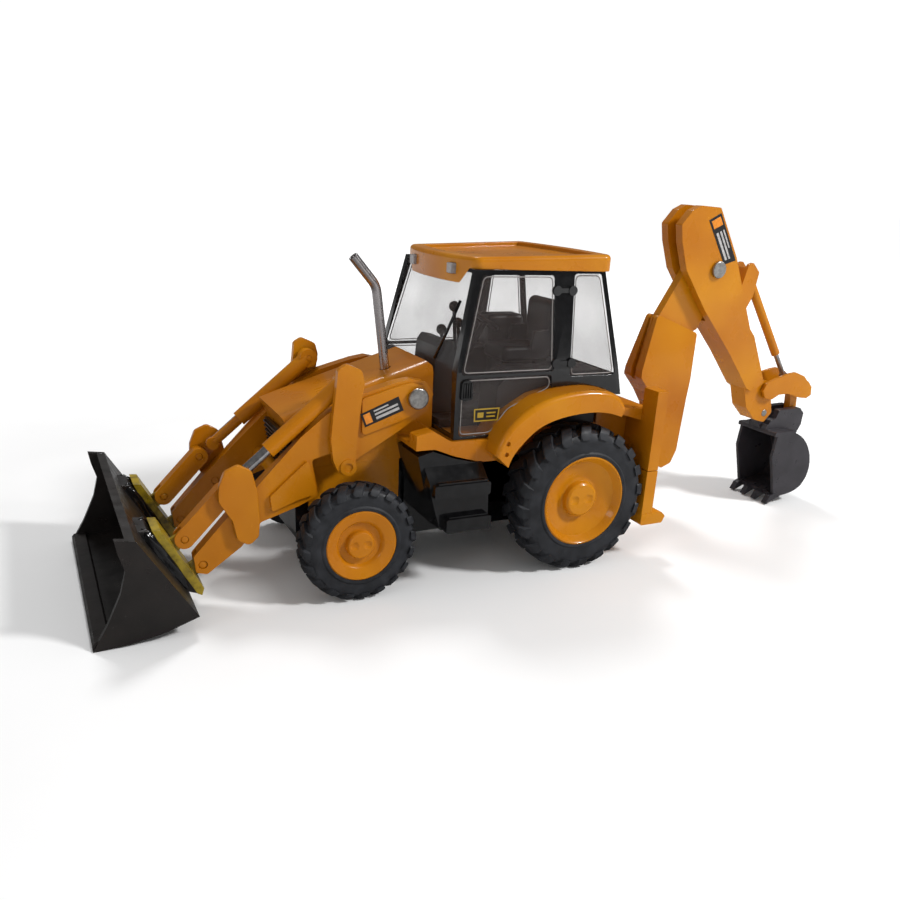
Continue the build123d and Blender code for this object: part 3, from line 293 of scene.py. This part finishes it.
def interior():
    """Satin dark grey moulded plastic."""
    mat = material("interior_dark_plastic")
    patches = noise(mat, 2 * MM, detail=5.0, roughness=0.6)
    set_colour(mat, ramp(mat, patches, [(0.35, INTERIOR_DARK), (0.75, INTERIOR_WORN)]))
    vary_roughness(mat, noise(mat, 3 * MM), 0.30, 0.48)
    set_normal(mat, bump(mat, noise(mat, 0.45 * MM, detail=4.0), strength=0.35, depth=0.03 * MM))
    return mat


def glazing():
    """Clear, faintly smoked plastic: part transparent film, part gloss."""
    mat = material("smoked_glazing", roughness=0.05)
    smoke = noise(mat, 9 * MM, detail=4.0, roughness=0.6)
    set_colour(mat, ramp(mat, smoke, [(0.3, SMOKE_DARK), (0.8, SMOKE_PALE)]))
    film = remap(mat, noise(mat, 12 * MM), NOISE_LOW, NOISE_HIGH, 0.13, 0.20)
    link(mat, film, shader_input(mat, "Alpha"))
    set_normal(mat, bump(mat, noise(mat, 14 * MM, detail=2.0), strength=0.08, depth=0.10 * MM))
    return mat


# Scale of the wave texture, which puts the lens ribs about half a millimetre apart.
LENS_RIB_SCALE = 600


def lamp():
    """Grey moulded lamp with a fine ribbed lens."""
    mat = material("lamp_grey", coat=0.5, coat_roughness=0.1)
    set_colour(mat, ramp(mat, noise(mat, 1.0 * MM), [(0.3, LAMP_DARK), (0.7, LAMP_PALE)]))
    wave = add(mat, "ShaderNodeTexWave", bands_direction="Y")
    wave.inputs["Scale"].default_value = LENS_RIB_SCALE
    link(mat, coordinates(mat), wave.inputs["Vector"])
    set_normal(mat, bump(mat, wave.outputs["Fac"], strength=0.3, depth=0.05 * MM))
    return mat


def printed(name, colour):
    """Printed label ink with slight mottling."""
    mat = material(name, roughness=0.35)
    darker = tuple(0.75 * channel for channel in colour[:3]) + (1,)
    mottle = noise(mat, 0.5 * MM, detail=4.0)
    set_colour(mat, ramp(mat, mottle, [(0.3, darker), (0.6, colour)]))
    set_normal(mat, bump(mat, noise(mat, 0.6 * MM), strength=0.2, depth=0.01 * MM))
    return mat


MATERIALS = {
    "yellow_enamel": enamel(),
    "tyre_rubber": rubber(),
    "black_gloss": black_gloss("black_gloss", 0.10, 0.26),
    "grille_dark": black_gloss("grille_dark", 0.40, 0.60),
    "smoked_glazing": glazing(),
    "interior_dark": interior(),
    "plated_steel": plated("plated_steel", STEEL_DARK, STEEL_BRIGHT, 0.28, 0.50),
    "exhaust_metal": plated("exhaust_metal", EXHAUST_DARK, EXHAUST_BRIGHT, 0.20, 0.30),
    "lamp_grey": lamp(),
    "bucket_dark": bucket_paint("bucket_brown_black", BUCKET_DARK, BUCKET_WORN),
    "coupling_yellow_green": coupling_paint(),
}
LABEL_BLACK = printed("label_black", (0.012, 0.012, 0.013, 1))
LABEL_ORANGE = printed("label_orange", (0.75, 0.24, 0.01, 1))
LABEL_GREY = printed("label_grey", (0.45, 0.44, 0.43, 1))
LABEL_YELLOW = printed("label_yellow", (0.42, 0.27, 0.02, 1))
# Light grey of the window beads: a painted highlight where the clear plastic's edges catch light.
EDGE_PAINTED_HIGHLIGHT = printed("window_edge_painted_highlight", (0.26, 0.24, 0.23, 1))
ROD_MATERIAL = half_plated_rod()

# Nodes whose finish differs from the rest of their material slot. The digging bucket's lighter paint is
# partly a painted sheen.
OWN_FINISH_AND_SHEEN = {
    # Painted sheen: the digging bucket gets a lighter copy of the bucket paint.
    "digging_bucket": bucket_paint("digging_bucket_painted_sheen", DIGGING_SHEEN_DARK, DIGGING_SHEEN_WORN),
    "coupling_pins": MATERIALS["yellow_enamel"],
    "tip_ram_rod_left": ROD_MATERIAL,
    "tip_ram_rod_right": ROD_MATERIAL,
}


# ---- CAD nodes: soft edges and materials ---------------------------------------

EDGE_RADIUS = {
    "cab_glazing": 0.05 * MM,
    "cab_frame": 0.04 * MM,
    "radiator_grille": 0.06 * MM,
    "exhaust_stack": 0.06 * MM,
    "base_screws": 0.06 * MM,
    "roof_lights": 0.15 * MM,
    "cab_roof": 0.22 * MM,
    "body_casting": 0.40 * MM,
    "chassis_base": 0.30 * MM,
    "boom": 0.55 * MM,
    "dipper": 0.55 * MM,
    "loader_arm_left": 0.42 * MM,
    "loader_arm_right": 0.42 * MM,
    "tip_lever_left": 0.48 * MM,
    "tip_lever_right": 0.48 * MM,
    "tip_link_left": 0.30 * MM,
    "tip_link_right": 0.30 * MM,
}
DEFAULT_EDGE_RADIUS = 0.18 * MM
EDGE_SEGMENTS = 3
SHARPEST_UNROUNDED = math.radians(32)
FLAT_WITHIN = math.radians(1.5)
SAME_POINT = 0.002 * MM


def smooth_group():
    """Node group that only sets smooth shading."""
    group = bpy.data.node_groups.new("shade_smooth", "GeometryNodeTree")
    group.interface.new_socket("Geometry", in_out="INPUT", socket_type="NodeSocketGeometry")
    group.interface.new_socket("Geometry", in_out="OUTPUT", socket_type="NodeSocketGeometry")
    start = group.nodes.new("NodeGroupInput")
    end = group.nodes.new("NodeGroupOutput")
    smooth = group.nodes.new("GeometryNodeSetShadeSmooth")
    group.links.new(start.outputs[0], smooth.inputs["Geometry"])
    group.links.new(smooth.outputs["Geometry"], end.inputs[0])
    return group


SMOOTH = smooth_group()


def soften(obj, radius):
    """Rounded edges and even shading, as a cast or moulded part has."""
    weld = obj.modifiers.new("join_corners", "WELD")
    weld.merge_threshold = SAME_POINT
    flat = obj.modifiers.new("clean_flats", "DECIMATE")
    flat.decimate_type = "DISSOLVE"
    flat.angle_limit = FLAT_WITHIN
    bevel = obj.modifiers.new("round_edges", "BEVEL")
    bevel.width = radius
    bevel.segments = EDGE_SEGMENTS
    bevel.limit_method = "ANGLE"
    bevel.angle_limit = SHARPEST_UNROUNDED
    bevel.miter_outer = "MITER_ARC"
    shade = obj.modifiers.new("smooth", "NODES")
    shade.node_group = SMOOTH
    even = obj.modifiers.new("even_normals", "WEIGHTED_NORMAL")
    even.keep_sharp = False


def finish_nodes():
    """Give every CAD node its material and its soft edges."""
    for part in frame["record"]["subparts"]:
        name = part["node"]
        node_object = frame["nodes"][name]
        node_object.data.materials.clear()
        node_object.data.materials.append(OWN_FINISH_AND_SHEEN.get(name, MATERIALS[part["material_slot"]]))
        soften(node_object, EDGE_RADIUS.get(name, DEFAULT_EDGE_RADIUS))


# ---- Camera, light and floor ---------------------------------------------------

CAMERA_YAW = math.radians(27.276)
CAMERA_PITCH = math.radians(22.568)
CAMERA_ROLL = math.radians(3.093)
CAMERA_PLACE = (FRONT_AXLE_X - 46.04 * MM, -146.73 * MM, 67.07 * MM)
CAMERA_LENS = 34.27
CAMERA_SHIFT = (-0.0125, 0.1036)

# Strength of the surroundings as they light the model, as they reflect and as the camera sees them.
SURROUND_LIGHT = 0.46
REFLECTED_LIGHT = 0.10
BACKDROP_LIGHT = 1.05

# Light name, place, target, diameter in metres and power in watts.
LIGHTS = [
    ("key", (0.30, -0.26, 0.36), (0.02, 0.0, 0.03), 0.08, 2.1),
    ("rear_top", (0.05, 0.30, 0.50), (0.0, 0.0, 0.02), 0.14, 1.2),
    ("front_fill", (-0.42, -0.25, 0.22), (0.0, 0.0, 0.02), 0.12, 0.15),
]

FLOOR_HALF = 8.0
FLOOR_CELLS = 24
# The floor's painted glow brightens between these distances from the model, up to this emission.
GLOW_START = 120 * MM
GLOW_END = 420 * MM
GLOW_STRENGTH = 0.65


def make_camera():
    """Camera to the front and left of the model and a little above it."""
    forward = Vector((
        math.sin(CAMERA_YAW) * math.cos(CAMERA_PITCH),
        math.cos(CAMERA_YAW) * math.cos(CAMERA_PITCH),
        -math.sin(CAMERA_PITCH),
    ))
    level_right = Vector((math.cos(CAMERA_YAW), -math.sin(CAMERA_YAW), 0))
    level_up = level_right.cross(forward)
    right = level_right * math.cos(CAMERA_ROLL) + level_up * math.sin(CAMERA_ROLL)
    up = level_up * math.cos(CAMERA_ROLL) - level_right * math.sin(CAMERA_ROLL)
    data = bpy.data.cameras.new("camera")
    data.sensor_width = 36
    data.lens = CAMERA_LENS
    data.shift_x, data.shift_y = CAMERA_SHIFT
    data.clip_start = 0.01
    data.clip_end = 20
    camera = bpy.data.objects.new("camera", data)
    camera.matrix_world = Matrix((
        (right.x, up.x, -forward.x, CAMERA_PLACE[0]),
        (right.y, up.y, -forward.y, CAMERA_PLACE[1]),
        (right.z, up.z, -forward.z, CAMERA_PLACE[2]),
        (0, 0, 0, 1),
    ))
    bpy.context.scene.collection.objects.link(camera)
    bpy.context.scene.camera = camera


def area_light(name, place, target, size, power):
    """Round soft light at a place, facing a target."""
    data = bpy.data.lights.new(name, "AREA")
    data.shape = "DISK"
    data.size = size
    data.energy = power
    light = bpy.data.objects.new(name, data)
    light.location = place
    light.rotation_euler = (Vector(target) - Vector(place)).to_track_quat("-Z", "Y").to_euler()
    bpy.context.scene.collection.objects.link(light)


def floor_material():
    """Pale matte floor with a slight grain. Painted light: it glows more strongly away from the model, in
    place of a lit sweep, and its colour turns dark grey where it is seen in reflections.
    """
    mat = material("floor_pale", roughness=0.75)
    tone = ramp(mat, noise(mat, 40 * MM), [(0.3, FLOOR_DARK), (0.7, FLOOR_PALE)])
    # Painted reflection: the floor's colour turns dark grey for glossy rays.
    path = add(mat, "ShaderNodeLightPath")
    set_colour(mat, mix(mat, path.outputs["Is Glossy Ray"], tone, FLOOR_PAINTED_REFLECTION))
    distance = add(mat, "ShaderNodeVectorMath", operation="LENGTH")
    link(mat, coordinates(mat), distance.inputs[0])
    # Painted light: the floor glows, more strongly away from the model.
    shader_input(mat, "Emission Color").default_value = (1, 1, 1, 1)
    glow = remap(mat, distance.outputs["Value"], GLOW_START, GLOW_END, 0.0, GLOW_STRENGTH)
    link(mat, glow, shader_input(mat, "Emission Strength"))
    return mat


def make_floor():
    """Flat floor that reaches far past the view."""
    mesh = bmesh.new()
    bmesh.ops.create_grid(mesh, x_segments=FLOOR_CELLS, y_segments=FLOOR_CELLS, size=FLOOR_HALF)
    data = bpy.data.meshes.new("floor")
    mesh.to_mesh(data)
    mesh.free()
    data.materials.append(floor_material())
    floor = bpy.data.objects.new("floor", data)
    bpy.context.scene.collection.objects.link(floor)


def make_world():
    """Soft surroundings: white to the camera, darker in reflections, as a black-lined studio is."""
    world = bpy.data.worlds.new("studio")
    world.use_nodes = True
    tree = world.node_tree
    background = tree.nodes["Background"]
    background.inputs["Color"].default_value = (1, 1, 1, 1)
    path = tree.nodes.new("ShaderNodeLightPath")
    reflected = tree.nodes.new("ShaderNodeMapRange")
    reflected.inputs["To Min"].default_value = SURROUND_LIGHT
    reflected.inputs["To Max"].default_value = REFLECTED_LIGHT
    strength = tree.nodes.new("ShaderNodeMapRange")
    strength.inputs["To Max"].default_value = BACKDROP_LIGHT
    tree.links.new(path.outputs["Is Glossy Ray"], reflected.inputs["Value"])
    tree.links.new(path.outputs["Is Camera Ray"], strength.inputs["Value"])
    tree.links.new(reflected.outputs["Result"], strength.inputs["To Min"])
    tree.links.new(strength.outputs["Result"], background.inputs["Strength"])
    bpy.context.scene.world = world
    bpy.context.scene.view_settings.view_transform = "Standard"


# ---- Helpers for the added pieces ----------------------------------------------


def add_piece(name, mesh, materials, body, smooth):
    """Turn a bmesh into an object that rides on a CAD body, and return it."""
    data = bpy.data.meshes.new(name)
    mesh.to_mesh(data)
    mesh.free()
    for mat in materials:
        data.materials.append(mat)
    for polygon in data.polygons:
        polygon.use_smooth = smooth
    piece = bpy.data.objects.new(name, data)
    bpy.context.scene.collection.objects.link(piece)
    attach(piece, body)
    return piece


def from_axle(x, z):
    """Row-frame x and z, in metres, of a point given in millimetres from the front axle."""
    return (FRONT_AXLE_X + x * MM, z * MM)


# ---- Printed labels ------------------------------------------------------------

# Height of each printed layer above the surface under the label.
GROUND_LIFT = 0.05 * MM
INK_LIFT = 0.065 * MM
TOP_INK_LIFT = 0.08 * MM
LABEL_EDGE = 0.015 * MM

# Bands are (start, end) along the label, (low, high) across it, their ink and their lift.
STRIPE_BANDS = [
    (0.0, 1.0, 0.0, 1.0, LABEL_BLACK, GROUND_LIFT),
    (0.05, 0.22, 0.14, 0.86, LABEL_ORANGE, INK_LIFT),
    (0.32, 0.92, 0.18, 0.36, LABEL_GREY, INK_LIFT),
    (0.32, 0.92, 0.48, 0.62, LABEL_GREY, INK_LIFT),
    (0.32, 0.70, 0.74, 0.84, LABEL_GREY, INK_LIFT),
]
DOOR_BANDS = [
    (0.0, 1.0, 0.0, 1.0, LABEL_YELLOW, GROUND_LIFT),
    (0.05, 0.95, 0.10, 0.90, LABEL_BLACK, INK_LIFT),
    (0.14, 0.38, 0.30, 0.70, LABEL_YELLOW, TOP_INK_LIFT),
    (0.50, 0.86, 0.30, 0.42, LABEL_YELLOW, TOP_INK_LIFT),
    (0.50, 0.86, 0.58, 0.70, LABEL_YELLOW, TOP_INK_LIFT),
]

# Corners are (x, z) in millimetres from the axle: lower left, lower right, upper right, upper left.
ARM_LABEL = [(3.5, 28.5), (10.5, 31.0), (9.5, 33.5), (2.6, 30.8)]
DIPPER_LABEL = [(80.1, 63.3), (85.8, 54.8), (88.8, 55.7), (83.0, 64.8)]
DOOR_LABEL = [(21.9, 29.3), (26.6, 29.3), (26.9, 31.6), (21.8, 31.6)]

# Distance of each labelled face from the middle.
ARM_FACE_Y = 12.7 * MM
DIPPER_FACE_Y = 3.25 * MM
DOOR_FACE_Y = 17.2 * MM


def label_plate(name, corners, y, body, bands):
    """Thin printed plate on a side face at y, divided lengthwise into coloured bands."""
    side = 1 if y > 0 else -1
    places = [from_axle(*corner) for corner in corners]
    low_left, low_right, high_right, high_left = [Vector((x, 0, z)) for x, z in places]

    def at(along, across):
        bottom = low_left.lerp(low_right, along)
        top = high_left.lerp(high_right, along)
        return bottom.lerp(top, across)

    mesh = bmesh.new()
    inks = []
    for start, end, low, high, ink, lift in bands:
        if ink not in inks:
            inks.append(ink)
        ring = [at(start, low), at(end, low), at(end, high), at(start, high)]
        base = [mesh.verts.new((p.x, y, p.z)) for p in ring]
        top = [mesh.verts.new((p.x, y + side * lift, p.z)) for p in ring]
        faces = [mesh.faces.new(top)]
        for i in range(4):
            j = (i + 1) % 4
            faces.append(mesh.faces.new((base[i], base[j], top[j], top[i])))
        faces.append(mesh.faces.new(list(reversed(base))))
        for face in faces:
            face.material_index = inks.index(ink)
    bmesh.ops.recalc_face_normals(mesh, faces=mesh.faces)
    plate = add_piece(name, mesh, inks, body, smooth=False)
    rounding = plate.modifiers.new("soft_edge", "BEVEL")
    rounding.width = LABEL_EDGE
    rounding.segments = 2


# ---- Cab wiper and window beads, with painted highlights -----------------------

# Cab side and windscreen: height, half-width and front x in millimetres from the axle.
CAB_SECTIONS = [(26.4, 17.3, 18.15), (38.0, 17.0, 18.4), (54.5, 14.75, 22.1)]

# Outlines of the window beads on the cab's sides, whose light grey is a painted highlight, as (x, z) in
# millimetres from the axle.
WINDOW_OUTLINES = {
    "door_window_bead": [(19.5, 37.85), (23.5, 53.4), (36.95, 53.4), (37.0, 37.85)],
    "lower_door_bead": [
        (19.2, 27.25), (19.4, 36.55), (36.65, 36.55), (36.8, 34.7), (28.4, 31.3), (25.1, 27.25),
    ],
    "rear_window_bead": [(41.2, 36.75), (41.75, 53.65), (46.75, 53.65), (50.3, 36.75)],
}
# How far a corner's rounding reaches along its sides, and how far a bead stands proud, in millimetres.
CORNER_CUT = 0.9
BEAD_PROUD = 0.05
CORNER_STEPS = 4
BEAD_RADIUS = 0.10 * MM
BEAD_SIDES = 8
# No bead runs along this direction, so it can set how each cross-section is turned.
BEAD_REFERENCE = Vector((0.13, 0.97, 0.21))

# The wiper arm lies a gap in front of the windscreen, through these (y, z) points, in millimetres.
WIPER_POINTS = [(-7.9, 38.8), (-10.3, 44.0), (-12.4, 49.2)]
WIPER_GAP = 0.35
WIPER_RADIUS = 0.28 * MM


def cab_section(z):
    """Half-width of the cab and x of its windscreen at a height, all in millimetres."""
    low, high = CAB_SECTIONS[:2] if z < CAB_SECTIONS[1][0] else CAB_SECTIONS[1:]
    share = (z - low[0]) / (high[0] - low[0])
    return (low[1] + share * (high[1] - low[1]), low[2] + share * (high[2] - low[2]))


def bead(name, path, radius, mat, closed):
    """Round bead of a radius along a path on the vehicle, all in metres."""
    count = len(path)
    mesh = bmesh.new()
    rings = []
    for index, point in enumerate(path):
        before = path[index - 1] if closed or index else point
        after = path[(index + 1) % count] if closed or index < count - 1 else point
        forward = (after - before).normalized()
        side = forward.cross(BEAD_REFERENCE).normalized()
        lift = forward.cross(side).normalized()
        ring = []
        for step in range(BEAD_SIDES):
            angle = 2 * math.pi * step / BEAD_SIDES
            outward = math.cos(angle) * side + math.sin(angle) * lift
            ring.append(mesh.verts.new(point + radius * outward))
        rings.append(ring)
    for index in range(count if closed else count - 1):
        near = rings[index]
        far = rings[(index + 1) % count]
        for step in range(BEAD_SIDES):
            other = (step + 1) % BEAD_SIDES
            mesh.faces.new((near[step], near[other], far[other], far[step]))
    if not closed:
        mesh.faces.new(list(reversed(rings[0])))
        mesh.faces.new(rings[-1])
    bmesh.ops.recalc_face_normals(mesh, faces=mesh.faces)
    add_piece(name, mesh, [mat], "vehicle", smooth=True)


def rounded_path(corners):
    """Closed x-z outline in millimetres with its corners rounded, as a list of (x, z)."""
    outline = []
    count = len(corners)
    for index, corner in enumerate(corners):
        here = Vector(corner)
        start = here + (Vector(corners[index - 1]) - here).normalized() * CORNER_CUT
        end = here + (Vector(corners[(index + 1) % count]) - here).normalized() * CORNER_CUT
        for step in range(CORNER_STEPS + 1):
            share = step / CORNER_STEPS
            outline.append(start.lerp(here, share).lerp(here.lerp(end, share), share))
    return outline


def window_bead(name, side, corners):
    """Thin light-grey bead round one window of the cab's side: a painted highlight where the clear edge
    catches light.
    """
    path = []
    for x, z in rounded_path(corners):
        row_x, row_z = from_axle(x, z)
        half_width, _ = cab_section(z)
        path.append(Vector((row_x, side * (half_width + BEAD_PROUD) * MM, row_z)))
    bead(name, path, BEAD_RADIUS, EDGE_PAINTED_HIGHLIGHT, closed=True)


def make_wiper():
    """Wiper arm in front of the windscreen."""
    path = []
    for y, z in WIPER_POINTS:
        _, windscreen_x = cab_section(z)
        row_x, row_z = from_axle(windscreen_x - WIPER_GAP, z)
        path.append(Vector((row_x, y * MM, row_z)))
    bead("wiper_arm", path, WIPER_RADIUS, MATERIALS["black_gloss"], closed=False)


# ---- Bucket lugs ---------------------------------------------------------------

# Two lugs lie against the bucket's back on each side: name, y in millimetres, seed for the dents.
LUGS = [("outer", 14.2, 1.7), ("inner", 9.0, 4.9)]
# (x, z) in millimetres from the axle.
LUG_CENTRE = (-31.0, 9.4)
LUG_HALF_SIZE = (1.3 * MM, 1.2 * MM, 6.0 * MM)
LUG_TILT = math.radians(28)
LUG_CUTS = 13
# 2 would give an ellipsoid, and a large number a box.
LUG_SQUARENESS = 4
# Depth of the dents as a share of the lug's size, and how closely they follow each other.
BROAD_DENT_DEPTH = 0.13
BROAD_DENT_RATE = 2.1
FINE_DENT_DEPTH = 0.05
FINE_DENT_RATE = 5.0


def cast_lump(name, centre, seed):
    """Lumpy rounded casting on the bucket: a rounded block with an uneven surface, tilted about y."""
    mesh = bmesh.new()
    bmesh.ops.create_cube(mesh, size=2.0)
    bmesh.ops.subdivide_edges(mesh, edges=mesh.edges[:], cuts=LUG_CUTS, use_grid_fill=True)
    turn = Matrix.Rotation(-LUG_TILT, 3, "Y")
    for vertex in mesh.verts:
        power_sum = sum(abs(value) ** LUG_SQUARENESS for value in vertex.co)
        rounded = vertex.co / power_sum ** (1 / LUG_SQUARENESS)
        broad = perlin.noise(rounded * BROAD_DENT_RATE + Vector((seed, 0.0, 0.0)))
        fine = perlin.noise(rounded * FINE_DENT_RATE + Vector((0.0, seed, 0.0)))
        dent = 1.0 + BROAD_DENT_DEPTH * broad + FINE_DENT_DEPTH * fine
        stretched = Vector([value * half for value, half in zip(rounded, LUG_HALF_SIZE)]) * dent
        vertex.co = Vector(centre) + turn @ stretched
    add_piece(name, mesh, [MATERIALS["black_gloss"]], "front_bucket", smooth=True)


# ---- Build ---------------------------------------------------------------------

finish_nodes()
make_camera()
make_world()
make_floor()
for light_settings in LIGHTS:
    area_light(*light_settings)

for side_name, side in SIDES:
    label_plate("arm_label_" + side_name, ARM_LABEL, side * ARM_FACE_Y, "loader_arms", STRIPE_BANDS)
    label_plate("dipper_label_" + side_name, DIPPER_LABEL, side * DIPPER_FACE_Y, "dipper_arm", STRIPE_BANDS)

for side_name, side in SIDES:
    for bead_name, corners in WINDOW_OUTLINES.items():
        window_bead(bead_name + "_" + side_name, side, corners)
    label_plate("door_label_" + side_name, DOOR_LABEL, side * DOOR_FACE_Y, "vehicle", DOOR_BANDS)

make_wiper()

lug_x, lug_z = from_axle(*LUG_CENTRE)
for side_name, side in SIDES:
    for lug_name, lug_y, seed in LUGS:
        cast_lump("bucket_lug_" + lug_name + "_" + side_name, (lug_x, side * lug_y * MM, lug_z), seed)
